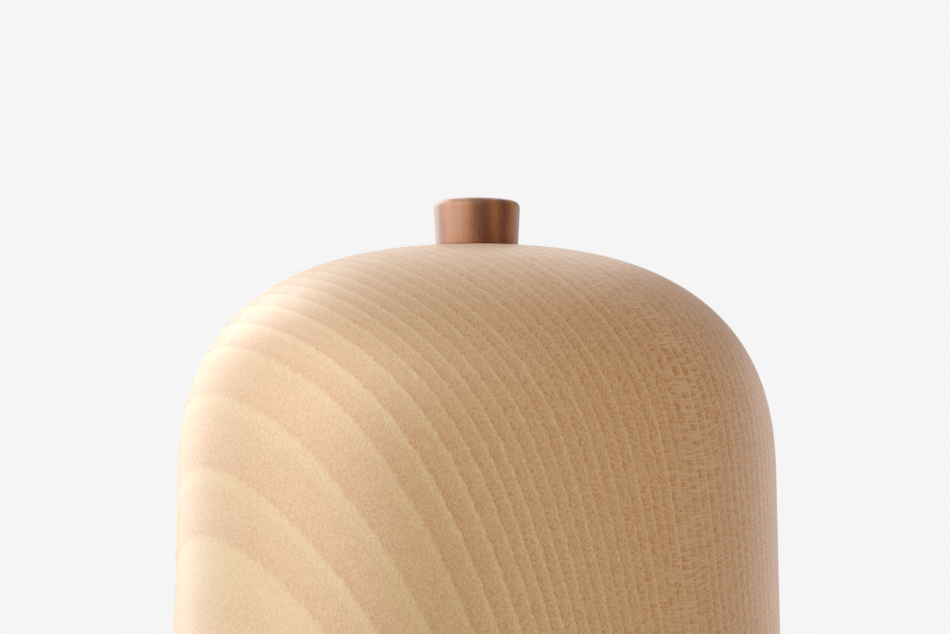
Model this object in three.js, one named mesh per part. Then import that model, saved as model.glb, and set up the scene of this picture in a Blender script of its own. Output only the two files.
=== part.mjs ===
// A two-piece kokeshi doll with a head that turns: a maple head and trunk, joined by a walnut neck pin
// that is glued into the head and snapped into a socket in the trunk, and a walnut topknot peg.
// Every piece is turned on one lathe axis, so each is a LatheGeometry of its half-outline.
// Millimetres, +Z up, origin at the centre of the foot, face towards -Y.

import * as THREE from "three";

// ---- Driving dimensions ----

const GLUE_LINE = 0.1; // film of glue round a peg that is glued in
const SEAT_GAP = 0.1; // film between two faces that rest on each other
const RUN_CLEARANCE = 0.1; // radial play of the neck pin's stem where it turns
const BULB_CLEARANCE = 0.5; // radial room round the neck pin's bulb
const END_CLEARANCE = 1; // free depth past the end of a peg in its hole

const TRUNK_HEIGHT = 89.5; // foot to neck seat
const FOOT_RADIUS = 25; // widest, just above the foot's rounded edge
const FOOT_ROUND = 2.2; // rounding under the foot
const FOOT_RING = 3.4; // width of the ring that the doll stands on
const FOOT_RECESS = 0.8; // how far the base is hollowed inside that ring
const WAIST_RADIUS = 19.8;
const WAIST_HEIGHT = 53; // above the foot
const SHOULDER_RADIUS = 21.6;
const SHOULDER_HEIGHT = 11; // rise of the rounded shoulder
const SHOULDER_FULLNESS = 0.62; // how far the shoulder keeps its direction before it turns in
const SEAT_MARGIN = 1.6; // width of trunk seat that shows round the neck collar

const GROOVE_WIDTH = 0.9; // V-grooves cut with the point of the chisel
const GROOVE_DEPTH = 0.45;
const FOOT_GROOVES = [9, 12]; // heights above the foot
const SHOULDER_GROOVES = [5, 8]; // distances below the shoulder's start

const HEAD_HEIGHT = 55; // underside to crown
const CROWN_HEIGHT = 23.4; // the domed part of the head
const CROWN_POWER = 2.57; // fullness of the dome: 2 is an ellipse
const HEAD_RADIUS = 29.3; // the head's straight side, extended up to the crown
const HEAD_FLARE = 0.0166; // how much wider the side gets for each millimetre down
const CHEEK_ROUND = 14; // rounding from the side to the underside
const CHIN_DISH = 1.2; // how far the underside is hollowed towards the neck

const COLLAR_RADIUS = 8.6; // neck pin: the ring that shows between head and trunk
const COLLAR_HEIGHT = 2;
const SPIGOT_RADIUS = 6; // the end that is glued into the head
const SPIGOT_LENGTH = 14;
const STEM_RADIUS = 5.6; // the end that turns in the trunk
const STEM_LENGTH = 8;
const BULB_SNAP = 0.6; // how far the end bulb stands out past the stem, so that the head stays on
const BULB_LENGTH = 6;
const PIN_CHAMFER = 0.8;

const KNOT_RADIUS = 4.3; // topknot: widest, just under its rounded top
const KNOT_FOOT_RADIUS = 4.1;
const KNOT_HEIGHT = 4.95;
const KNOT_ROUND = 0.75; // rounding of the top edge
const KNOT_CROWN = 0.3; // bulge of the top face
const KNOT_TENON_RADIUS = 2.4;
const KNOT_TENON_LENGTH = 8;

const MAPLE = 0xd6a872;
const WALNUT = 0x6e4429;

// ---- Sizes that follow ----

const headBase = TRUNK_HEIGHT + COLLAR_HEIGHT + 2 * SEAT_GAP; // height of the head's underside at the neck
const headTop = headBase + HEAD_HEIGHT;
const lipRadius = STEM_RADIUS + RUN_CLEARANCE; // mouth of the trunk's socket
const bulbRadius = STEM_RADIUS + BULB_SNAP;
const chamberRadius = bulbRadius + BULB_CLEARANCE; // socket below its lip
const lipLength = STEM_LENGTH - BULB_CLEARANCE;
const socketDepth = STEM_LENGTH + BULB_LENGTH + END_CLEARANCE;
const seatRadius = COLLAR_RADIUS + SEAT_MARGIN;

// ---- Outlines: points of radius and height, from the bottom of the axis outwards and up, to the axis ----

const point = (radius, height) => new THREE.Vector2(radius, height);

// An arc about (radius, height) from one angle to another, in degrees from the outward direction.
function arc(radius, height, size, from, to, steps) {
  const points = [];
  for (let i = 0; i <= steps; i++) {
    const angle = THREE.MathUtils.degToRad(from + ((to - from) * i) / steps);
    points.push(point(radius + size * Math.cos(angle), height + size * Math.sin(angle)));
  }
  return points;
}

// A V-groove across the outline whose radius at a height is given.
function groove(height, radiusAt) {
  const half = GROOVE_WIDTH / 2;
  return [
    point(radiusAt(height - half), height - half),
    point(radiusAt(height) - GROOVE_DEPTH, height),
    point(radiusAt(height + half), height + half),
  ];
}

const trunkSideStart = FOOT_ROUND;
const trunkSideEnd = TRUNK_HEIGHT - SHOULDER_HEIGHT;

// The trunk's side: one parabola from foot to waist and one from waist to shoulder, smooth at the waist.
function trunkRadius(height) {
  const below = height < WAIST_HEIGHT;
  const end = below ? FOOT_RADIUS : SHOULDER_RADIUS;
  const reach = below ? WAIST_HEIGHT - trunkSideStart : trunkSideEnd - WAIST_HEIGHT;
  return WAIST_RADIUS + (end - WAIST_RADIUS) * ((height - WAIST_HEIGHT) / reach) ** 2;
}

// The shoulder leaves the side in the side's own direction and arrives level at the neck seat.
function shoulder(steps) {
  const start = point(SHOULDER_RADIUS, trunkSideEnd);
  const lean = (2 * (SHOULDER_RADIUS - WAIST_RADIUS)) / (trunkSideEnd - WAIST_HEIGHT);
  const rise = SHOULDER_HEIGHT * SHOULDER_FULLNESS;
  const end = point(seatRadius, TRUNK_HEIGHT);
  const inset = (SHOULDER_RADIUS - seatRadius) * SHOULDER_FULLNESS;
  return new THREE.CubicBezierCurve(
    start,
    point(start.x + lean * rise, start.y + rise),
    point(end.x + inset, end.y),
    end,
  ).getPoints(steps);
}

function trunkOutline() {
  const ringOuter = FOOT_RADIUS - FOOT_ROUND;
  const ringInner = ringOuter - FOOT_RING;
  const grooves = [...FOOT_GROOVES, ...SHOULDER_GROOVES.map((below) => trunkSideEnd - below)];
  const side = grooves.flatMap((height) => groove(height, trunkRadius));
  const plainSteps = 12;
  for (let i = 1; i < plainSteps; i++) {
    const height = THREE.MathUtils.lerp(trunkSideStart, trunkSideEnd, i / plainSteps);
    const clearOfGrooves = grooves.every((middle) => Math.abs(middle - height) > GROOVE_WIDTH);
    if (clearOfGrooves) side.push(point(trunkRadius(height), height));
  }
  side.sort((a, b) => a.y - b.y);
  return [
    point(0, FOOT_RECESS),
    point(ringInner - FOOT_RECESS, FOOT_RECESS),
    point(ringInner, 0),
    ...arc(ringOuter, FOOT_ROUND, FOOT_ROUND, -90, 0, 5),
    ...side,
    ...shoulder(9),
    point(lipRadius + PIN_CHAMFER, TRUNK_HEIGHT),
    point(lipRadius, TRUNK_HEIGHT - PIN_CHAMFER),
    point(lipRadius, TRUNK_HEIGHT - lipLength),
    point(chamberRadius, TRUNK_HEIGHT - lipLength - BULB_SNAP),
    point(chamberRadius, TRUNK_HEIGHT - socketDepth),
    point(0, TRUNK_HEIGHT - socketDepth),
  ];
}

// The head's side, at a depth below the crown.
const headSide = (depth) => HEAD_RADIUS + HEAD_FLARE * depth;

// Radius of the head at a depth below the crown: a superellipse dome that runs into the flared side.
function headRadius(depth) {
  const left = 1 - Math.min(depth / CROWN_HEIGHT, 1);
  return headSide(depth) * (1 - left ** CROWN_POWER) ** (1 / CROWN_POWER);
}

function headOutline() {
  const flareAngle = THREE.MathUtils.radToDeg(Math.atan(HEAD_FLARE));
  const cheekDepth = HEAD_HEIGHT - CHEEK_ROUND;
  const cheekCentre = headSide(cheekDepth) - CHEEK_ROUND * Math.hypot(1, HEAD_FLARE);
  const cheek = arc(cheekCentre, headTop - cheekDepth, CHEEK_ROUND, -90, flareAngle, 10);
  const tenonHole = KNOT_TENON_RADIUS + GLUE_LINE;
  const dome = [];
  const domeSteps = 18;
  for (let i = 0; i < domeSteps; i++) {
    // Steps crowd towards the crown, where the outline turns fastest from level.
    const depth = CROWN_HEIGHT * (1 - i / domeSteps) ** 2.2;
    const radius = headRadius(depth);
    if (radius > tenonHole + 1) dome.push(point(radius, headTop - depth));
  }
  const boreRadius = SPIGOT_RADIUS + GLUE_LINE;
  const boreTop = headBase + CHIN_DISH + SPIGOT_LENGTH + END_CLEARANCE;
  return [
    point(0, boreTop),
    point(boreRadius, boreTop),
    point(boreRadius, headBase + CHIN_DISH),
    point(COLLAR_RADIUS, headBase + CHIN_DISH),
    ...cheek,
    ...dome,
    point(tenonHole, headTop),
    point(tenonHole, headTop - KNOT_TENON_LENGTH - END_CLEARANCE),
    point(0, headTop - KNOT_TENON_LENGTH - END_CLEARANCE),
  ];
}

// The neck pin, from the bulb in the trunk's socket up to the spigot in the head.
function neckPinOutline() {
  const stemEnd = TRUNK_HEIGHT - STEM_LENGTH;
  const bulbEnd = stemEnd - BULB_LENGTH;
  const collarBase = TRUNK_HEIGHT + SEAT_GAP;
  const collarTop = headBase + CHIN_DISH - SEAT_GAP;
  return [
    point(0, bulbEnd),
    point(bulbRadius - 2 * PIN_CHAMFER, bulbEnd),
    point(bulbRadius, bulbEnd + 2 * PIN_CHAMFER),
    point(bulbRadius, stemEnd - BULB_SNAP),
    point(STEM_RADIUS, stemEnd),
    point(STEM_RADIUS, collarBase),
    point(COLLAR_RADIUS, collarBase),
    point(COLLAR_RADIUS, collarTop),
    point(SPIGOT_RADIUS, collarTop),
    point(SPIGOT_RADIUS, collarTop + SPIGOT_LENGTH - PIN_CHAMFER),
    point(SPIGOT_RADIUS - PIN_CHAMFER, collarTop + SPIGOT_LENGTH),
    point(0, collarTop + SPIGOT_LENGTH),
  ];
}

function topknotOutline() {
  const foot = headTop + SEAT_GAP;
  const top = headTop + KNOT_HEIGHT;
  const edge = arc(KNOT_RADIUS - KNOT_ROUND, top - KNOT_CROWN - KNOT_ROUND, KNOT_ROUND, 0, 80, 4);
  return [
    point(0, headTop - KNOT_TENON_LENGTH),
    point(KNOT_TENON_RADIUS, headTop - KNOT_TENON_LENGTH),
    point(KNOT_TENON_RADIUS, foot),
    point(KNOT_FOOT_RADIUS, foot),
    ...edge,
    point(KNOT_RADIUS / 2, top - KNOT_CROWN / 4),
    point(0, top),
  ];
}

// ---- Pieces ----

// LatheGeometry turns about Y, so each piece is tipped up to turn about Z.
function turned(name, outline, segments, colour, roughness) {
  const material = new THREE.MeshStandardMaterial({ color: colour, roughness, metalness: 0 });
  const mesh = new THREE.Mesh(new THREE.LatheGeometry(outline, segments), material);
  mesh.name = name;
  mesh.rotation.x = Math.PI / 2;
  return mesh;
}

const doll = new THREE.Group();
doll.add(turned("trunk", trunkOutline(), 56, MAPLE, 0.55));
doll.add(turned("head", headOutline(), 64, MAPLE, 0.55));
doll.add(turned("neck_pin", neckPinOutline(), 40, WALNUT, 0.5));
doll.add(turned("topknot", topknotOutline(), 40, WALNUT, 0.5));

export default doll;
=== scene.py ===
"""Kokeshi doll: the looks of a turned maple doll with a walnut topknot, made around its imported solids."""

import math
from typing import NamedTuple

import bmesh
import bpy
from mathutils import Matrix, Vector


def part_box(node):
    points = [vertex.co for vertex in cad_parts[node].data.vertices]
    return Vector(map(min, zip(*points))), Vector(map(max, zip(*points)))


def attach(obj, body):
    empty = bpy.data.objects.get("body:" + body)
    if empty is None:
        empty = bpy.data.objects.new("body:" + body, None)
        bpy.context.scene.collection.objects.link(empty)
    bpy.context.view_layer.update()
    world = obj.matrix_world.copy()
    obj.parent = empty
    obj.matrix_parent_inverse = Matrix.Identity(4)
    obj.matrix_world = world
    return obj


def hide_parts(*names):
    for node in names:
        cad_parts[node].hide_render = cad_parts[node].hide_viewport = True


bl_info = {
    "name": "Kokeshi Doll",
    "version": (1, 0, 0),
    "blender": (4, 5, 0),
    "location": "3D View > Sidebar > Kokeshi",
    "description": "Turns, paints and finishes a kokeshi doll whose head swivels",
    "category": "Add Mesh",
}

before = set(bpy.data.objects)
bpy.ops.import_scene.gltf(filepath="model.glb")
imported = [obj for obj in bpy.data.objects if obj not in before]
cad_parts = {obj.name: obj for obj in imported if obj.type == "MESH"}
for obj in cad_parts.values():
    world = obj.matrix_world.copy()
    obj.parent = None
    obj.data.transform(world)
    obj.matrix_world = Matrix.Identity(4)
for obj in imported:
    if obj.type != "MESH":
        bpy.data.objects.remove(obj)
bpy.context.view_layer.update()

MM = 0.001

# The hidden fits: a film of glue or a worn gap round each tenon, and air beyond its end.
SPIGOT_RADIUS = 6 * MM
STEM_RADIUS = 5.6 * MM
BULB_RADIUS = 6.2 * MM
TENON_RADIUS = 2.4 * MM
FIT_GAP = 0.1 * MM
BULB_GAP = 0.5 * MM
END_GAP = 0.8 * MM
BULB_END_GAP = 1 * MM
LIP_DEPTH = 7.5 * MM

# Sides of the turned meshes.
BODY_SEGMENTS = 256
PIN_SEGMENTS = 160
KNOT_SEGMENTS = 128


# ---- Colours ----


def linear(hex_colour):
    """The linear RGBA of an sRGB hex colour such as "#d2a878"."""
    shares = [int(hex_colour[i : i + 2], 16) / 255 for i in (1, 3, 5)]
    values = [s / 12.92 if s <= 0.04045 else ((s + 0.055) / 1.055) ** 2.4 for s in shares]
    return (*values, 1.0)


# ---- Sizes and colours that a user would change ----


def length(name, millimetres, description):
    return bpy.props.FloatProperty(
        name=name, description=description, default=millimetres * MM, unit="LENGTH", precision=5
    )


def colour(name, hex_colour, description):
    return bpy.props.FloatVectorProperty(
        name=name,
        description=description,
        default=linear(hex_colour),
        size=4,
        min=0.0,
        max=1.0,
        subtype="COLOR",
    )


class KokeshiHeadShape(bpy.types.PropertyGroup):
    crown_height: length("Crown height", 23.4, "Height of the domed part of the head")
    side_radius: length("Side radius", 29.3, "Radius of the side, extended up to the crown")
    cheek_round: length("Cheek rounding", 14, "Rounding from the side to the underside")
    chin_dish: length("Chin dish", 1.2, "How far the underside is hollowed towards the neck")
    crown_power: bpy.props.FloatProperty(
        name="Crown fullness", description="2 is an ellipse, more is fuller", default=2.57
    )
    flare: bpy.props.FloatProperty(
        name="Flare", description="Widening of the side for each unit of length down", default=0.0166
    )


class KokeshiTrunkShape(bpy.types.PropertyGroup):
    foot_radius: length("Foot radius", 25, "Widest radius, just above the foot's rounded edge")
    foot_round: length("Foot rounding", 2.2, "Rounding under the foot")
    foot_ring: length("Foot ring", 3.4, "Width of the ring that the doll stands on")
    foot_recess: length("Foot recess", 0.8, "How far the base is hollowed inside that ring")
    waist_radius: length("Waist radius", 19.8, "Radius at the waist")
    waist_height: length("Waist height", 53, "Height of the waist above the foot")
    shoulder_radius: length("Shoulder radius", 21.6, "Radius where the rounded shoulder starts")
    shoulder_height: length("Shoulder height", 11, "Rise of the rounded shoulder")
    shoulder_fullness: bpy.props.FloatProperty(
        name="Shoulder fullness", description="How far the shoulder keeps its direction", default=0.62
    )
    groove_width: length("Groove width", 0.9, "Width of each chisel groove")
    groove_depth: length("Groove depth", 0.45, "Depth of each chisel groove")
    seat_margin: length("Seat margin", 1.6, "Width of seat that shows round the neck collar")


class KokeshiWoodColours(bpy.types.PropertyGroup):
    maple_early: colour("Maple, spring growth", "#eacb8e", "Pale start of each growth ring")
    maple_late: colour("Maple, summer growth", "#ba4c04", "Darker end of each growth ring")
    maple_ray: colour("Maple, rays", "#e0b487", "Lustrous flecks of the rays")
    walnut_light: colour("Walnut, light", "#c98344", "Pale streaks of the walnut")
    walnut_dark: colour("Walnut, dark", "#7e421c", "Dark streaks of the walnut")
    scorch: colour("Scorch", "#4a2d1a", "Grooves scorched by friction on the lathe")
    ink: colour("Ink", "#1d1613", "Brushed black ink of the eyes")
    vermilion: colour("Vermilion", "#b23a2b", "Brushed red of the mouth")
    blush: colour("Blush", "#d8795f", "Soft red rubbed on the cheeks")


class KokeshiStudio(bpy.types.PropertyGroup):
    camera_distance: length("Camera distance", 300, "From the camera to the doll's axis")
    view_width: length("View width", 95, "Width of the picture at the doll's axis")
    aim_below_crown: length("Aim below crown", 6.96, "Depth of the picture's middle below the crown")
    camera_side: length("Camera side step", 0.2, "How far the camera stands off the doll's axis")
    camera_tilt: bpy.props.FloatProperty(
        name="Camera tilt",
        description="How far the camera looks up",
        default=math.radians(4),
        unit="ROTATION",
    )
    fill_power: bpy.props.FloatProperty(name="Fill light", description="Power in watts", default=1.45)
    window_power: bpy.props.FloatProperty(name="Window", description="Power in watts", default=19)
    curtain_power: bpy.props.FloatProperty(name="Curtain", description="Power in watts", default=6)
    skylight_power: bpy.props.FloatProperty(name="Skylight", description="Power in watts", default=4.8)
    bounce_power: bpy.props.FloatProperty(name="Bounce card", description="Power in watts", default=0.7)


# ---- Turning ----


def arc(radius, height, size, start, end, steps):
    """Points on an arc about (radius, height), with its angles in degrees from the outward direction."""
    angles = [math.radians(start + (end - start) * i / steps) for i in range(steps + 1)]
    return [(radius + size * math.cos(a), height + size * math.sin(a)) for a in angles]


def eased(points, size, steps=5):
    """The same outline with each inner corner turned into a short curve, as sandpaper leaves it."""
    largest_share = 0.45
    corners = [Vector(p) for p in points]
    made = [corners[0]]
    for before, corner, after in zip(corners, corners[1:], corners[2:]):
        shortest = min((corner - before).length, (after - corner).length)
        reach = min(size, shortest * largest_share)
        start = corner + (before - corner).normalized() * reach
        end = corner + (after - corner).normalized() * reach
        for i in range(steps + 1):
            t = i / steps
            made.append(start * (1 - t) ** 2 + corner * (2 * t * (1 - t)) + end * t * t)
    return [tuple(p) for p in [*made, corners[-1]]]


def turned(name, outline, segments, body, solid, material):
    """A closed mesh turned from an outline of (radius, height) that starts and ends on the axis."""
    mesh = bmesh.new()
    turns = [2 * math.pi * i / segments for i in range(segments)]
    first = mesh.verts.new((0, 0, outline[0][1]))
    rings = [
        [mesh.verts.new((r * math.cos(a), r * math.sin(a), z)) for a in turns]
        for r, z in outline[1:-1]
    ]
    last = mesh.verts.new((0, 0, outline[-1][1]))
    for i in range(segments):
        j = (i + 1) % segments
        mesh.faces.new((first, rings[0][j], rings[0][i]))
        mesh.faces.new((last, rings[-1][i], rings[-1][j]))
        for low, high in zip(rings, rings[1:]):
            mesh.faces.new((low[i], low[j], high[j], high[i]))
    bmesh.ops.recalc_face_normals(mesh, faces=mesh.faces)
    data = bpy.data.meshes.new(name)
    mesh.to_mesh(data)
    mesh.free()
    data.shade_smooth()
    data.set_sharp_from_angle(angle=math.radians(40))
    data.materials.append(material)
    piece = bpy.data.objects.new(name, data)
    bpy.context.scene.collection.objects.link(piece)
    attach(piece, body)
    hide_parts(solid)
    return piece


# ---- Materials ----


def node(tree, kind, inputs=(), **settings):
    """Adds a node with its settings. Its inputs are values, or sockets to link from."""
    made = tree.nodes.new(kind)
    for name, value in settings.items():
        setattr(made, name, value)
    for socket, value in dict(inputs).items():
        if isinstance(value, bpy.types.NodeSocket):
            tree.links.new(value, made.inputs[socket])
        else:
            made.inputs[socket].default_value = value
    return made


def new_material(name):
    """An empty material with a Principled shader, and its tree and shader."""
    material = bpy.data.materials.new(name)
    material.use_nodes = True
    tree = material.node_tree
    return material, tree, tree.nodes["Principled BSDF"]


class Heart(NamedTuple):
    """The heart line of the tree that a blank was cut from, in millimetres in the row frame.

    It passes at, leans aside by lean as it rises, and bends sideways by bend times the height squared. Rings
    further out than the heart stands from the lathe axis steepen by steepening for each unit of height.
    """

    at: tuple
    lean: tuple = (0, 0)
    bend: float = 0
    steepening: float = 0


def tree_space(tree, heart):
    """Where a point lay in the tree, in millimetres: the distance that its rings go by, and three
    sockets for the way that its fibres and rays lie, outwards, round the heart line and along it.
    """
    up = Vector((*heart.lean, 1)).normalized()
    out = -Vector((*heart.at[:2], 0))
    reach = out.length
    out = (out - up * out.dot(up)).normalized()
    place = node(tree, "ShaderNodeTexCoord").outputs["Object"]
    scaled = node(tree, "ShaderNodeVectorMath", {0: place, "Scale": 1 / MM}, operation="SCALE")
    offset = node(tree, "ShaderNodeVectorMath", {0: scaled.outputs[0], 1: heart.at}, operation="SUBTRACT")
    across, aside, along = [
        node(
            tree, "ShaderNodeVectorMath", {0: offset.outputs[0], 1: way}, operation="DOT_PRODUCT"
        ).outputs["Value"]
        for way in (out, up.cross(out), up)
    ]
    angle = node(tree, "ShaderNodeMath", {0: aside, 1: across}, operation="ARCTAN2")
    round_it = node(tree, "ShaderNodeMath", {0: angle.outputs[0], 1: reach}, operation="MULTIPLY")

    squared = node(tree, "ShaderNodeMath", {0: along, 1: along}, operation="MULTIPLY")
    bent = node(
        tree, "ShaderNodeMath", {0: squared.outputs[0], 1: -heart.bend, 2: aside}, operation="MULTIPLY_ADD"
    )
    flat = node(tree, "ShaderNodeCombineXYZ", {"X": across, "Y": bent.outputs[0]})
    away = node(tree, "ShaderNodeVectorMath", {0: flat.outputs[0]}, operation="LENGTH").outputs["Value"]
    beyond = node(tree, "ShaderNodeMath", {0: away, 1: reach}, operation="SUBTRACT")
    steeper = node(tree, "ShaderNodeMath", {0: along, 1: heart.steepening}, operation="MULTIPLY")
    distance = node(
        tree,
        "ShaderNodeMath",
        {0: beyond.outputs[0], 1: steeper.outputs[0], 2: away},
        operation="MULTIPLY_ADD",
    )
    return distance.outputs[0], (away, round_it.outputs[0], along)


def slab_cut(tree, heart):
    """How far a face is turned from the rays: 0 where it is cut along them, 1 where it cuts them square."""
    up = Vector((*heart.lean, 1)).normalized()
    surface = node(tree, "ShaderNodeTexCoord").outputs
    heart_at = [part * MM for part in heart.at]
    offset = node(tree, "ShaderNodeVectorMath", {0: surface["Object"], 1: heart_at}, operation="SUBTRACT")
    round_it = node(tree, "ShaderNodeVectorMath", {0: up, 1: offset.outputs[0]}, operation="CROSS_PRODUCT")
    outwards = node(tree, "ShaderNodeVectorMath", {0: round_it.outputs[0], 1: up}, operation="CROSS_PRODUCT")
    way = node(tree, "ShaderNodeVectorMath", {0: outwards.outputs[0]}, operation="NORMALIZE")
    facing = node(
        tree, "ShaderNodeVectorMath", {0: way.outputs[0], 1: surface["Normal"]}, operation="DOT_PRODUCT"
    )
    return node(tree, "ShaderNodeMath", {0: facing.outputs["Value"]}, operation="ABSOLUTE").outputs[0]


def grain_noise(tree, space, sizes, detail=2.0, roughness=0.5, lift=0.0):
    """Noise whose cells measure sizes, in millimetres out, round and along the tree.

    lift slides it along all three, so that two noises of one wood don't share their pattern.
    """
    stretched = [
        node(tree, "ShaderNodeMath", {0: part, 1: 1 / size, 2: lift}, operation="MULTIPLY_ADD")
        for part, size in zip(space, sizes)
    ]
    vector = node(tree, "ShaderNodeCombineXYZ", {i: s.outputs[0] for i, s in enumerate(stretched)})
    noise = node(
        tree,
        "ShaderNodeTexNoise",
        {"Vector": vector.outputs[0], "Scale": 1.0, "Detail": detail, "Roughness": roughness},
    )
    return noise.outputs["Fac"]


# The head's blank came from beside a branch, where the tree bent and its outer rings lean more.
HEAD_HEART = Heart(at=(-87, -37, 126.7), lean=(0.4, -0.21), bend=0.01, steepening=-0.0054)
TRUNK_HEART = Heart(at=(38, -52, 60), lean=(-0.05, 0.03))
NECK_HEART = Heart(at=(31, 17, 90), lean=(0.04, 0.02))
TOPKNOT_HEART = Heart(at=(-24, 20, 150), lean=(0.04, 0.02))
# Growth of each blank: distance from the heart in millimetres, and rings counted up to there.
# Slow, even growth while the tree was shaded, then wider and less even rings towards the bark.
HEAD_GROWTH = [
    (0, 0), (60, 35), (92.7, 63), (106.4, 76), (107.6, 77), (110.9, 79), (113.6, 80), (116.5, 81),
    (118.6, 82), (126, 83), (150, 88),
]
TRUNK_GROWTH = [(0, 0), (25, 16), (48, 34), (62, 42), (90, 56), (150, 98)]
GROWTH_SPAN = 150
RINGS_SPAN = 100
# How pale the wood is through one year's growth: a dark start, a pale line, a tan ground, a darker end.
YEAR_TONES = [(0.0, 0.2), (0.07, 0.95), (0.18, 0.85), (0.36, 0.52), (0.7, 0.4), (0.92, 0.22), (1.0, 0.12)]
MEAN_YEAR_TONE = 0.42
# How far a ring strays, in millimetres: in long swells, and at its ragged edge.
RING_SWELL = 0.6
RING_RAGGED = 0.5
# Shares of the rings and of the fibres in the tone of the wood.
RING_SHARE = 0.6
FIBRE_SHARE = 0.27
# Painted light and shade run over this many millimetres on either side of the lathe axis, from darker on the
# side towards the heart to paler on the side away from it.
PAINTED_LIGHT_REACH = 30


def ring_count(tree, distance, growth):
    """Rings counted from the heart out to a distance, following a list of (distance, rings)."""
    share = node(tree, "ShaderNodeMath", {0: distance, 1: GROWTH_SPAN}, operation="DIVIDE")
    curve = node(tree, "ShaderNodeFloatCurve", {"Value": share.outputs[0]})
    points = curve.mapping.curves[0].points
    for _ in growth[2:]:
        points.new(0.5, 0.5)
    for point, (at, rings) in zip(points, growth):
        point.location = (at / GROWTH_SPAN, rings / RINGS_SPAN)
        point.handle_type = "VECTOR"
    curve.mapping.update()
    rings = node(tree, "ShaderNodeMath", {0: curve.outputs[0], 1: RINGS_SPAN}, operation="MULTIPLY")
    return rings.outputs[0]


def year_tone(tree, season):
    """How pale the wood is at a season, which runs from 0 to 1 through one year's growth."""
    made = node(tree, "ShaderNodeValToRGB", {"Fac": season})
    elements = made.color_ramp.elements
    while len(elements) < len(YEAR_TONES):
        elements.new(0.5)
    for element, (position, grey) in zip(elements, YEAR_TONES):
        element.position = position
        element.color = (grey, grey, grey, 1)
    return made.outputs["Color"]


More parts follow.
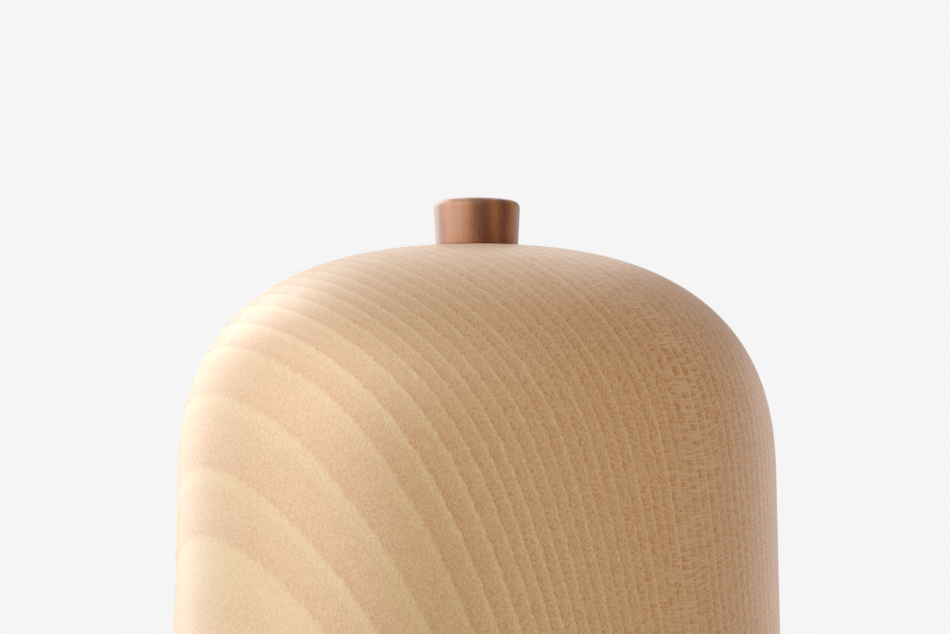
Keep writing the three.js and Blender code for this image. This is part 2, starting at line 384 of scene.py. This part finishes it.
def turned_maple(name, heart, growth, blush_at=None):
    """Hard maple, turned, sanded and waxed.

    The eye sees thin pale bands where each year's growth starts, that fade into a tan ground and end in a
    fine darker line; rays that show as rice-grain dashes on flat-sawn faces and as woven, lustrous bars
    where the face is quarter-sawn; and a satin gloss that whitens at a grazing angle.
    """
    colours = bpy.context.scene.kokeshi_colours
    material, tree, shader = new_material(name)
    distance, space = tree_space(tree, heart)

    # Rings are never true circles: they swell over centimetres, and their edge is ragged at fibre scale.
    swell = grain_noise(tree, space, (22, 22, 60), detail=1.0)
    ragged = grain_noise(tree, space, (0.8, 0.5, 1.0), detail=3.0, roughness=0.65)
    swelled = node(tree, "ShaderNodeMath", {0: swell, 1: RING_SWELL, 2: distance}, operation="MULTIPLY_ADD")
    edged = node(
        tree, "ShaderNodeMath", {0: ragged, 1: RING_RAGGED, 2: swelled.outputs[0]}, operation="MULTIPLY_ADD"
    )
    # Both noises have their middle at a half.
    middle = (RING_SWELL + RING_RAGGED) / 2
    centred = node(tree, "ShaderNodeMath", {0: edged.outputs[0], 1: middle}, operation="SUBTRACT")
    rings = ring_count(tree, centred.outputs[0], growth)
    year = node(tree, "ShaderNodeMath", {0: rings}, operation="FLOOR")
    season = node(tree, "ShaderNodeMath", {0: rings}, operation="FRACT")
    # Some years leave a strong line and some hardly any.
    luck = node(tree, "ShaderNodeTexWhiteNoise", {"W": year.outputs[0]}, noise_dimensions="1D")
    strength = node(
        tree, "ShaderNodeMapRange", {"Value": luck.outputs["Value"], "To Min": 0.5, "To Max": 1.0}
    )
    ring_tone = node(
        tree,
        "ShaderNodeMix",
        {"Factor": strength.outputs[0], "A": MEAN_YEAR_TONE, "B": year_tone(tree, season.outputs[0])},
        data_type="FLOAT",
    )

    # Rays are ribbons on edge, long outwards. Cells this size make flecks about 0.5 mm tall and 0.1 mm thick.
    rays = grain_noise(tree, space, (2.0, 0.06, 0.3), detail=0.0)
    ray_tone = node(
        tree,
        "ShaderNodeMapRange",
        {"Value": rays, "From Min": 0.44, "From Max": 0.58},
        interpolation_type="SMOOTHSTEP",
    )
    # Fibres and fine pores are finer than 0.1 mm, and are drawn in cells of 0.15 by 0.28 mm to show.
    fibres = grain_noise(tree, space, (0.15, 0.13, 0.28), detail=0.0, lift=3.7)
    fibre_tone = node(
        tree,
        "ShaderNodeMapRange",
        {"Value": fibres, "From Min": 0.38, "From Max": 0.62},
        interpolation_type="SMOOTHSTEP",
    )
    # Painted light and shade across the piece: paler on the side away from the heart and darker on the side
    # towards it. On the head the paler side is the one the window lights.
    reach = Vector(heart.at[:2]).length
    painted_side_light = node(
        tree,
        "ShaderNodeMapRange",
        {
            "Value": distance,
            "From Min": reach - PAINTED_LIGHT_REACH,
            "From Max": reach + PAINTED_LIGHT_REACH,
            "To Min": -0.1,
            "To Max": 0.38,
        },
    )

    ringed = node(tree, "ShaderNodeMath", {0: ring_tone.outputs[0], 1: RING_SHARE}, operation="MULTIPLY")
    fibrous = node(
        tree,
        "ShaderNodeMath",
        {0: fibre_tone.outputs[0], 1: FIBRE_SHARE, 2: ringed.outputs[0]},
        operation="MULTIPLY_ADD",
    )
    tone = node(tree, "ShaderNodeMath", {0: painted_side_light.outputs[0], 1: fibrous.outputs[0]}, operation="ADD")
    ground = node(
        tree,
        "ShaderNodeMix",
        {"Factor": tone.outputs[0], "A": colours.maple_late, "B": colours.maple_early},
        data_type="RGBA",
    )
    # A ray shows its whole ribbon where the face is cut along it, and only its thin end elsewhere.
    bright = node(
        tree,
        "ShaderNodeMapRange",
        {
            "Value": slab_cut(tree, heart),
            "From Min": 0.02,
            "From Max": 0.13,
            "To Min": 0.85,
            "To Max": 0.55,
        },
        interpolation_type="SMOOTHSTEP",
    )
    ray_share = node(
        tree, "ShaderNodeMath", {0: ray_tone.outputs[0], 1: bright.outputs[0]}, operation="MULTIPLY"
    )
    rayed = node(
        tree,
        "ShaderNodeMix",
        {"Factor": ray_share.outputs[0], "A": ground.outputs["Result"], "B": colours.maple_ray},
        data_type="RGBA",
    )
    base = rayed.outputs["Result"]
    if blush_at:
        base = blushed(tree, base, blush_at, colours.blush)
    base = scorched(tree, base, colours.scorch)
    tree.links.new(base, shader.inputs["Base Color"])

    # Rays polish brighter than the wood between them, and their relief is half that of the fibres.
    roughness = node(tree, "ShaderNodeMapRange", {"Value": ray_tone.outputs[0], "To Min": 0.5, "To Max": 0.4})
    tree.links.new(roughness.outputs[0], shader.inputs["Roughness"])
    ray_relief = 0.5
    relief = node(tree, "ShaderNodeMath", {0: rays, 1: ray_relief, 2: fibres}, operation="MULTIPLY_ADD")
    bump = node(
        tree, "ShaderNodeBump", {"Height": relief.outputs[0], "Strength": 0.15, "Distance": 0.02 * MM}
    )
    tree.links.new(bump.outputs[0], shader.inputs["Normal"])
    shader.inputs["IOR"].default_value = 1.5
    shader.inputs["Sheen Weight"].default_value = 0.15
    shader.inputs["Sheen Roughness"].default_value = 0.45
    return material


def blushed(tree, base, places, blush):
    """Colour rubbed on with a finger: soft discs about each place, strongest at the middle."""
    reach = 6.5 * MM
    place = node(tree, "ShaderNodeTexCoord").outputs["Object"]
    for centre in places:
        away = node(tree, "ShaderNodeVectorMath", {0: place, 1: centre}, operation="DISTANCE")
        share = node(
            tree,
            "ShaderNodeMapRange",
            {"Value": away.outputs["Value"], "From Min": reach, "From Max": 0.0, "To Max": 0.3},
            interpolation_type="SMOOTHERSTEP",
        )
        base = node(
            tree,
            "ShaderNodeMix",
            {"Factor": share.outputs[0], "A": base, "B": blush},
            data_type="RGBA",
        ).outputs["Result"]
    return base


def scorched(tree, base, scorch):
    """Darkens what the mesh marks as groove, as a wire held in it on the lathe does."""
    darkest = 0.8
    mark = node(tree, "ShaderNodeAttribute", attribute_name="groove")
    share = node(tree, "ShaderNodeMath", {0: mark.outputs["Fac"], 1: darkest}, operation="MULTIPLY")
    mixed = node(
        tree, "ShaderNodeMix", {"Factor": share.outputs[0], "A": base, "B": scorch}, data_type="RGBA"
    )
    return mixed.outputs["Result"]


def oiled_walnut(name, heart):
    """Walnut, turned and oiled.

    The eye sees brown streaks along the axis, short dark pores, and a soft oil gloss.
    """
    colours = bpy.context.scene.kokeshi_colours
    material, tree, shader = new_material(name)
    _, space = tree_space(tree, heart)
    streaks = grain_noise(tree, space, (1.8, 2.4, 26), detail=2.0, roughness=0.5)
    pores = grain_noise(tree, space, (0.16, 0.2, 1.6), detail=1.0, lift=5.3)
    pore_tone = node(
        tree, "ShaderNodeMapRange", {"Value": pores, "From Min": 0.3, "From Max": 0.48, "To Min": 0.7}
    )
    streak_tone = node(
        tree,
        "ShaderNodeMapRange",
        {"Value": streaks, "From Min": 0.3, "From Max": 0.7},
        interpolation_type="SMOOTHSTEP",
    )
    wood = node(
        tree,
        "ShaderNodeMix",
        {"Factor": streak_tone.outputs[0], "A": colours.walnut_dark, "B": colours.walnut_light},
        data_type="RGBA",
    )
    porous = node(
        tree,
        "ShaderNodeVectorMath",
        {0: wood.outputs["Result"], "Scale": pore_tone.outputs[0]},
        operation="SCALE",
    )
    tree.links.new(porous.outputs[0], shader.inputs["Base Color"])
    roughness = node(tree, "ShaderNodeMapRange", {"Value": streaks, "To Min": 0.42, "To Max": 0.52})
    tree.links.new(roughness.outputs[0], shader.inputs["Roughness"])
    bump = node(tree, "ShaderNodeBump", {"Height": pores, "Strength": 0.15, "Distance": 0.03 * MM})
    tree.links.new(bump.outputs[0], shader.inputs["Normal"])
    shader.inputs["IOR"].default_value = 1.5
    shader.inputs["Coat Weight"].default_value = 0.15
    shader.inputs["Coat Roughness"].default_value = 0.45
    return material


def brushed_paint(name, paint_colour):
    """Water-based paint laid on bare wood with a brush: it dries nearly matt, thinner along its hairs."""
    material, tree, shader = new_material(name)
    place = node(tree, "ShaderNodeTexCoord").outputs["Object"]
    hairs = node(tree, "ShaderNodeTexNoise", {"Vector": place, "Scale": 1 / (0.35 * MM), "Detail": 2.0})
    thin = node(tree, "ShaderNodeMapRange", {"Value": hairs.outputs["Fac"], "To Min": 0.75, "To Max": 1.5})
    laid = node(
        tree, "ShaderNodeVectorMath", {0: paint_colour[:3], "Scale": thin.outputs[0]}, operation="SCALE"
    )
    tree.links.new(laid.outputs[0], shader.inputs["Base Color"])
    shader.inputs["Roughness"].default_value = 0.55
    return material


PAPER = linear("#efefef")
BACKDROP = linear("#f5f5f5")


def seamless_paper():
    """White background paper: matt under the doll, and far away as bright as the sweep behind it."""
    material, tree, shader = new_material("seamless_paper")
    shader.inputs["Base Color"].default_value = PAPER
    shader.inputs["Roughness"].default_value = 0.9
    place = node(tree, "ShaderNodeTexCoord").outputs["Object"]
    away = node(tree, "ShaderNodeVectorMath", {0: place}, operation="LENGTH")
    share = node(
        tree,
        "ShaderNodeMapRange",
        {"Value": away.outputs["Value"], "From Min": 0.04, "From Max": 0.22},
        interpolation_type="SMOOTHSTEP",
    )
    glow = node(tree, "ShaderNodeEmission", {"Color": BACKDROP, "Strength": 1.0})
    mixed = node(
        tree,
        "ShaderNodeMixShader",
        {"Fac": share.outputs[0], 1: shader.outputs[0], 2: glow.outputs[0]},
    )
    tree.links.new(mixed.outputs[0], tree.nodes["Material Output"].inputs["Surface"])
    return material


# ---- Head ----


def head_radius(depth):
    """Radius of the head at a depth below its crown."""
    shape = bpy.context.scene.kokeshi_head
    left = 1 - min(depth / shape.crown_height, 1)
    side = shape.side_radius + shape.flare * depth
    return side * (1 - left**shape.crown_power) ** (1 / shape.crown_power)


def on_face(head_box, aside, above_chin, proud=0):
    """A point on the face, in metres: millimetres aside of its middle, above the chin and off the wood."""
    low, high = head_box
    radius = head_radius(high.z - low.z - above_chin * MM)
    angle = aside * MM / radius
    out = radius + proud * MM
    return (out * math.sin(angle), -out * math.cos(angle), low.z + above_chin * MM)


class KOKESHI_OT_turn_head(bpy.types.Operator):
    """Turn the head: a maple dome with nearly straight sides, a rounded cheek and a bore for the neck"""

    bl_idname = "kokeshi.turn_head"
    bl_label = "Turn Head"

    def execute(self, context):
        shape = context.scene.kokeshi_head
        low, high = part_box("head")
        pin_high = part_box("neck_pin")[1]
        knot_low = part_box("topknot")[0]
        height = high.z - low.z
        cheek_depth = height - shape.cheek_round
        side = shape.side_radius + shape.flare * cheek_depth
        cheek_centre = side - shape.cheek_round * math.hypot(1, shape.flare)
        flare_angle = math.degrees(math.atan(shape.flare))
        bore = SPIGOT_RADIUS + FIT_GAP
        bore_end = pin_high.z + END_GAP
        collar = pin_high.x
        tenon_hole = TENON_RADIUS + FIT_GAP
        tenon_hole_end = knot_low.z - END_GAP
        hollow = low.z + shape.chin_dish
        inside = [(0, bore_end), (bore, bore_end), (bore, hollow), (collar, hollow)]
        cheek = arc(cheek_centre, high.z - cheek_depth, shape.cheek_round, -90, flare_angle, steps=40)
        side_steps = 12
        straight = [
            shape.crown_height + (cheek_depth - shape.crown_height) * (1 - i / side_steps)
            for i in range(1, side_steps)
        ]
        dome_steps = 64
        # Steps get finer towards the crown, where the outline turns level.
        finer = 2.2
        dome = [shape.crown_height * (1 - i / dome_steps) ** finer for i in range(dome_steps)]
        outside = [(head_radius(depth), high.z - depth) for depth in straight + dome]
        hole_margin = 0.3 * MM
        outside = [p for p in outside if p[0] > tenon_hole + hole_margin]
        top = [(tenon_hole, high.z), (tenon_hole, tenon_hole_end), (0, tenon_hole_end)]
        outline = inside + cheek + outside + top
        blush_at = [on_face((low, high), way * 12.5, above_chin=23.5) for way in (-1, 1)]
        maple = turned_maple("head_turned_maple", HEAD_HEART, HEAD_GROWTH, blush_at)
        turned("head_maple", outline, BODY_SEGMENTS, "head", "head", maple)
        return {"FINISHED"}


# ---- Face ----


def brush_stroke(mesh, middle, half_length, bow, width, tilt, paint):
    """Adds one tapered stroke of paint to the face. Sizes are millimetres on the surface of the head.

    middle is the stroke's middle, to the side and above the chin; bow is how far its middle hangs below its
    ends, and width its breadth where the brush pressed hardest.
    """
    head_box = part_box("head")
    lift = 0.05
    sunk = -0.12
    least_half_width = 0.04
    taper = 2.4
    tip_fullness = 0.6
    along_steps = 28
    across_steps = 6

    def place(t, s, top):
        """A point at t along the stroke and s across it, both from -1 to 1."""
        pressed = width / 2 * (1 - abs(t) ** taper) ** tip_fullness + least_half_width
        x = t * half_length
        y = -bow * (1 - t * t) + s * pressed
        aside = middle[0] + x * math.cos(tilt) - y * math.sin(tilt)
        above = middle[1] + x * math.sin(tilt) + y * math.cos(tilt)
        return on_face(head_box, aside, above, lift * (1 - s * s) if top else sunk)

    layers = []
    for top in (True, False):
        layers.append(
            [
                [
                    mesh.verts.new(place(2 * i / along_steps - 1, 2 * j / across_steps - 1, top))
                    for j in range(across_steps + 1)
                ]
                for i in range(along_steps + 1)
            ]
        )
    upper, under = layers
    faces = []
    for i in range(along_steps):
        for j in range(across_steps):
            for layer in layers:
                faces.append((layer[i][j], layer[i + 1][j], layer[i + 1][j + 1], layer[i][j + 1]))
        for j in (0, across_steps):
            faces.append((upper[i][j], upper[i + 1][j], under[i + 1][j], under[i][j]))
    for i in (0, along_steps):
        for j in range(across_steps):
            faces.append((upper[i][j], upper[i][j + 1], under[i][j + 1], under[i][j]))
    for corners in faces:
        mesh.faces.new(corners).material_index = paint


class KOKESHI_OT_paint_face(bpy.types.Operator):
    """Paint the face: closed eyes, brows and a nose in ink, and a small red mouth"""

    bl_idname = "kokeshi.paint_face"
    bl_label = "Paint Face"

    def execute(self, context):
        colours = context.scene.kokeshi_colours
        ink = 0
        red = 1
        mesh = bmesh.new()
        for way in (-1, 1):
            eye = (way * 10.5, 29)
            brow = (way * 10.8, 35.5)
            brush_stroke(mesh, eye, half_length=4.2, bow=1.5, width=0.85, tilt=way * 0.06, paint=ink)
            brush_stroke(mesh, brow, half_length=3.8, bow=-1.0, width=0.35, tilt=way * -0.12, paint=ink)
        nose = (0, 23.6)
        upper_lip = (0, 18.4)
        lower_lip = (0, 17.5)
        brush_stroke(mesh, nose, half_length=1.1, bow=0.55, width=0.35, tilt=0, paint=ink)
        brush_stroke(mesh, upper_lip, half_length=1.9, bow=0.35, width=0.75, tilt=0, paint=red)
        brush_stroke(mesh, lower_lip, half_length=1.2, bow=0.3, width=0.6, tilt=0, paint=red)
        bmesh.ops.recalc_face_normals(mesh, faces=mesh.faces)
        data = bpy.data.meshes.new("face_paint")
        mesh.to_mesh(data)
        mesh.free()
        data.shade_smooth()
        data.set_sharp_from_angle(angle=math.radians(60))
        data.materials.append(brushed_paint("black_ink", tuple(colours.ink)))
        data.materials.append(brushed_paint("vermilion_paint", tuple(colours.vermilion)))
        face = bpy.data.objects.new("face_paint", data)
        context.scene.collection.objects.link(face)
        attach(face, "head")
        return {"FINISHED"}


# ---- Trunk, neck pin and topknot ----


class KOKESHI_OT_turn_trunk(bpy.types.Operator):
    """Turn the trunk: a waisted maple body with scorched grooves, a rounded shoulder and a socket"""

    bl_idname = "kokeshi.turn_trunk"
    bl_label = "Turn Trunk"

    def execute(self, context):
        shape = context.scene.kokeshi_trunk
        low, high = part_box("trunk")
        pin_low, pin_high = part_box("neck_pin")
        side_start = low.z + shape.foot_round
        side_end = high.z - shape.shoulder_height
        pair_gap = 3 * MM
        low_groove = 9 * MM
        high_groove = side_end - 5 * MM
        grooves = [low_groove, low_groove + pair_gap, high_groove - pair_gap, high_groove]
        lip_reach = shape.groove_width * 0.62

        def plain_radius(z):
            below = z < shape.waist_height
            end = shape.foot_radius if below else shape.shoulder_radius
            reach = shape.waist_height - side_start if below else side_end - shape.waist_height
            return shape.waist_radius + (end - shape.waist_radius) * ((z - shape.waist_height) / reach) ** 2

        def groove_share(z):
            """How deep in a groove a height is, from 0 to 1, with lips rounded by sandpaper."""
            nearest = min(abs(z - g) for g in grooves)
            t = max(0.0, 1 - nearest / lip_reach)
            return t * t * (3 - 2 * t)

        # The side's even steps, and finer ones that reach a little past each groove's lips.
        fine_reach = shape.groove_width * 0.7
        side_steps = 70
        fine_steps = 8
        heights = sorted(
            {side_start + (side_end - side_start) * i / side_steps for i in range(1, side_steps + 1)}
            | {g + fine_reach * i / fine_steps for g in grooves for i in range(-fine_steps, fine_steps + 1)}
        )
        side = [(plain_radius(z) - shape.groove_depth * groove_share(z), z) for z in heights]
        ring_outer = shape.foot_radius - shape.foot_round
        ring_inner = ring_outer - shape.foot_ring
        base = eased(
            [
                (0, low.z + shape.foot_recess),
                (ring_inner - shape.foot_recess, low.z + shape.foot_recess),
                (ring_inner, low.z),
                (ring_outer, low.z),
            ],
            size=0.5 * MM,
        )
        foot = arc(ring_outer, low.z + shape.foot_round, shape.foot_round, -90, 0, steps=14)
        seat_radius = pin_high.x + shape.seat_margin
        shoulder = self.shoulder(shape, side_end, high.z, seat_radius)
        lip = STEM_RADIUS + FIT_GAP
        lip_end = high.z - LIP_DEPTH
        lip_slope = 0.6 * MM
        chamber = BULB_RADIUS + BULB_GAP
        chamber_end = pin_low.z - BULB_END_GAP
        socket = eased(
            [
                (seat_radius, high.z),
                (lip, high.z),
                (lip, lip_end),
                (chamber, lip_end - lip_slope),
                (chamber, chamber_end),
                (0, chamber_end),
            ],
            size=0.7 * MM,
        )
        maple = turned_maple("trunk_turned_maple", TRUNK_HEART, TRUNK_GROWTH)
        outline = base + foot[1:] + side + shoulder[1:] + socket[1:]
        trunk = turned("trunk_maple", outline, BODY_SEGMENTS, "trunk", "trunk", maple)
        mark = trunk.data.attributes.new("groove", "FLOAT", "POINT")
        for vertex, value in zip(trunk.data.vertices, mark.data):
            if side_start < vertex.co.z < side_end:
                value.value = groove_share(vertex.co.z)
        return {"FINISHED"}

    @staticmethod
    def shoulder(shape, start_height, end_height, seat_radius):
        """Leaves the side in the side's own direction and arrives level at the neck seat."""
        rise = (end_height - start_height) * shape.shoulder_fullness
        run = start_height - shape.waist_height
        lean = 2 * (shape.shoulder_radius - shape.waist_radius) / run
        start = Vector((shape.shoulder_radius, start_height))
        end = Vector((seat_radius, end_height))
        first = start + Vector((lean * rise, rise))
        second = end + Vector(((start.x - end.x) * shape.shoulder_fullness, 0))
        made = []
        steps = 36
        for i in range(steps + 1):
            t = i / steps
            weights = ((1 - t) ** 3, 3 * t * (1 - t) ** 2, 3 * t * t * (1 - t), t**3)
            point = sum((p * w for p, w in zip((start, first, second, end), weights)), Vector((0, 0)))
            made.append(tuple(point))
        return made


class KOKESHI_OT_turn_neck_pin(bpy.types.Operator):
    """Turn the neck pin: a walnut dowel with a collar, and a bulb that holds it in the trunk"""

    bl_idname = "kokeshi.turn_neck_pin"
    bl_label = "Turn Neck Pin"

    def execute(self, context):
        low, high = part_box("neck_pin")
        trunk_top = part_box("trunk")[1].z
        head_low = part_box("head")[0].z
        collar = high.x
        collar_foot = trunk_top + FIT_GAP
        collar_top = head_low + context.scene.kokeshi_head.chin_dish - FIT_GAP
        stem_end = trunk_top - LIP_DEPTH - BULB_GAP
        bulb_slope = 0.6 * MM
        bulb_chamfer = 1.6 * MM
        spigot_chamfer = 0.8 * MM
        outline = eased(
            [
                (0, low.z),
                (BULB_RADIUS - bulb_chamfer, low.z),
                (BULB_RADIUS, low.z + bulb_chamfer),
                (BULB_RADIUS, stem_end - bulb_slope),
                (STEM_RADIUS, stem_end),
                (STEM_RADIUS, collar_foot),
                (collar, collar_foot),
                (collar, collar_top),
                (SPIGOT_RADIUS, collar_top),
                (SPIGOT_RADIUS, high.z - spigot_chamfer),
                (SPIGOT_RADIUS - spigot_chamfer, high.z),
                (0, high.z),
            ],
            size=0.35 * MM,
        )
        walnut = oiled_walnut("neck_oiled_walnut", NECK_HEART)
        turned("neck_pin_walnut", outline, PIN_SEGMENTS, "head", "neck_pin", walnut)
        return {"FINISHED"}


class KOKESHI_OT_turn_topknot(bpy.types.Operator):
    """Turn the topknot: a small walnut peg with a flared side and a softly domed top"""

    bl_idname = "kokeshi.turn_topknot"
    bl_label = "Turn Topknot"

    def execute(self, context):
        low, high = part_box("topknot")
        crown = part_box("head")[1].z
        widest = high.x
        foot_radius = 4.1 * MM
        rim_round = 0.75 * MM
        dome = 0.3 * MM
        seat_gap = 0.02 * MM
        seat = crown + seat_gap
        rim_height = high.z - dome - rim_round
        flat_edge = widest - rim_round
        peg = eased(
            [
                (0, low.z),
                (TENON_RADIUS, low.z),
                (TENON_RADIUS, seat),
                (foot_radius, seat),
                (widest, rim_height),
            ],
            size=0.18 * MM,
        )
        rim = arc(flat_edge, rim_height, rim_round, 0, 80, steps=14)
        last_radius, last_height = rim[-1]
        top_steps = 16
        top = [
            (last_radius * (1 - i / top_steps), high.z - (high.z - last_height) * (1 - i / top_steps) ** 2)
            for i in range(1, top_steps + 1)
        ]
        walnut = oiled_walnut("topknot_oiled_walnut", TOPKNOT_HEART)
        outline = peg[:-1] + rim + top
        turned("topknot_walnut", outline, KNOT_SEGMENTS, "head", "topknot", walnut)
        return {"FINISHED"}


# ---- Stage ----


class Lamp(NamedTuple):
    """A rectangular soft light: its place and size in metres, and whether it shows only in gloss."""

    name: str
    place: tuple
    size: tuple
    gloss_only: bool = True


LIT_POINT = Vector((0, 0, 0.12))
# The fill lights the wood. The others whiten the gloss of its sides and its crown.
LAMPS = (
    Lamp("fill", (0.04, 0.42, 0.66), (0.6, 0.6), gloss_only=False),
    Lamp("window", (0.55, -0.09, 0.3), (1.6, 0.9)),
    Lamp("curtain", (0.5, 0.3, 0.3), (0.6, 0.9)),
    Lamp("skylight", (0.12, -0.38, 0.72), (0.8, 1)),
    Lamp("bounce", (-0.4, -0.45, 0.08), (0.45, 0.45)),
)


class KOKESHI_OT_set_stage(bpy.types.Operator):
    """Set the stage: pale paper, a white sweep, soft lights round the doll, and the camera"""

    bl_idname = "kokeshi.set_stage"
    bl_label = "Set Stage"

    def execute(self, context):
        studio = context.scene.kokeshi_studio
        self.floor(context)
        self.sweep(context)
        for lamp in LAMPS:
            self.softbox(context, lamp, getattr(studio, f"{lamp.name}_power"))
        self.camera(context, studio)
        context.scene.view_settings.view_transform = "Standard"
        context.scene.view_settings.look = "None"
        return {"FINISHED"}

    @staticmethod
    def floor(context):
        mesh = bmesh.new()
        bmesh.ops.create_circle(mesh, cap_ends=True, segments=96, radius=1.2)
        data = bpy.data.meshes.new("paper_floor")
        mesh.to_mesh(data)
        mesh.free()
        data.materials.append(seamless_paper())
        floor = bpy.data.objects.new("paper_floor", data)
        context.scene.collection.objects.link(floor)

    @staticmethod
    def sweep(context):
        """An even white background, whose light is strongest from the doll's face side."""
        world = bpy.data.worlds.new("white_sweep")
        context.scene.world = world
        world.use_nodes = True
        tree = world.node_tree
        direction = node(tree, "ShaderNodeTexCoord").outputs["Generated"]
        parts = node(tree, "ShaderNodeSeparateXYZ", {0: direction})
        room = node(
            tree,
            "ShaderNodeMapRange",
            {
                "Value": parts.outputs["Y"],
                "From Min": -0.9,
                "From Max": 0.2,
                "To Min": 0.66,
                "To Max": 0.28,
            },
            interpolation_type="SMOOTHSTEP",
        )
        seen = tree.nodes["Background"]
        seen.inputs["Color"].default_value = BACKDROP
        light = node(tree, "ShaderNodeBackground", {"Strength": room.outputs[0]})
        path = node(tree, "ShaderNodeLightPath")
        mixed = node(
            tree,
            "ShaderNodeMixShader",
            {"Fac": path.outputs["Is Camera Ray"], 1: light.outputs[0], 2: seen.outputs[0]},
        )
        tree.links.new(mixed.outputs[0], tree.nodes["World Output"].inputs["Surface"])

    @staticmethod
    def softbox(context, lamp, power):
        data = bpy.data.lights.new(lamp.name, "AREA")
        data.shape = "RECTANGLE"
        data.size, data.size_y = lamp.size
        data.energy = power
        made = bpy.data.objects.new(lamp.name, data)
        made.location = lamp.place
        made.rotation_euler = (LIT_POINT - Vector(lamp.place)).to_track_quat("-Z", "Y").to_euler()
        made.visible_diffuse = not lamp.gloss_only
        context.scene.collection.objects.link(made)

    @staticmethod
    def camera(context, studio):
        """Looks up slightly at the back of the head, from below its crown."""
        data = bpy.data.cameras.new("camera")
        data.sensor_width = 36
        data.lens = data.sensor_width * studio.camera_distance / studio.view_width
        data.clip_start, data.clip_end = 0.01, 10
        camera = bpy.data.objects.new("camera", data)
        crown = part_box("head")[1].z
        aim = Vector((studio.camera_side, 0, crown - studio.aim_below_crown))
        away = Vector((0, math.cos(studio.camera_tilt), -math.sin(studio.camera_tilt)))
        camera.location = aim + away * studio.camera_distance
        camera.rotation_euler = (-away).to_track_quat("-Z", "Y").to_euler()
        context.scene.collection.objects.link(camera)
        context.scene.camera = camera


# ---- Panel and registration ----

STEPS = (
    "kokeshi.turn_head",
    "kokeshi.turn_topknot",
    "kokeshi.turn_neck_pin",
    "kokeshi.turn_trunk",
    "kokeshi.paint_face",
    "kokeshi.set_stage",
)


class KOKESHI_PT_workshop(bpy.types.Panel):
    bl_label = "Kokeshi Doll"
    bl_space_type = "VIEW_3D"
    bl_region_type = "UI"
    bl_category = "Kokeshi"

    def draw(self, context):
        for step in STEPS:
            self.layout.operator(step)


GROUPS = {
    "kokeshi_head": KokeshiHeadShape,
    "kokeshi_trunk": KokeshiTrunkShape,
    "kokeshi_colours": KokeshiWoodColours,
    "kokeshi_studio": KokeshiStudio,
}
CLASSES = (
    *GROUPS.values(),
    KOKESHI_OT_turn_head,
    KOKESHI_OT_turn_topknot,
    KOKESHI_OT_turn_neck_pin,
    KOKESHI_OT_turn_trunk,
    KOKESHI_OT_paint_face,
    KOKESHI_OT_set_stage,
    KOKESHI_PT_workshop,
)


def register():
    for made in CLASSES:
        bpy.utils.register_class(made)
    for name, group in GROUPS.items():
        setattr(bpy.types.Scene, name, bpy.props.PointerProperty(type=group))


def unregister():
    for name in GROUPS:
        delattr(bpy.types.Scene, name)
    for made in reversed(CLASSES):
        bpy.utils.unregister_class(made)


def main():
    register()
    bpy.ops.kokeshi.turn_head()
    bpy.ops.kokeshi.turn_topknot()
    bpy.ops.kokeshi.turn_neck_pin()
    bpy.ops.kokeshi.turn_trunk()
    bpy.ops.kokeshi.paint_face()
    bpy.ops.kokeshi.set_stage()


if __name__ == "__main__":
    main()
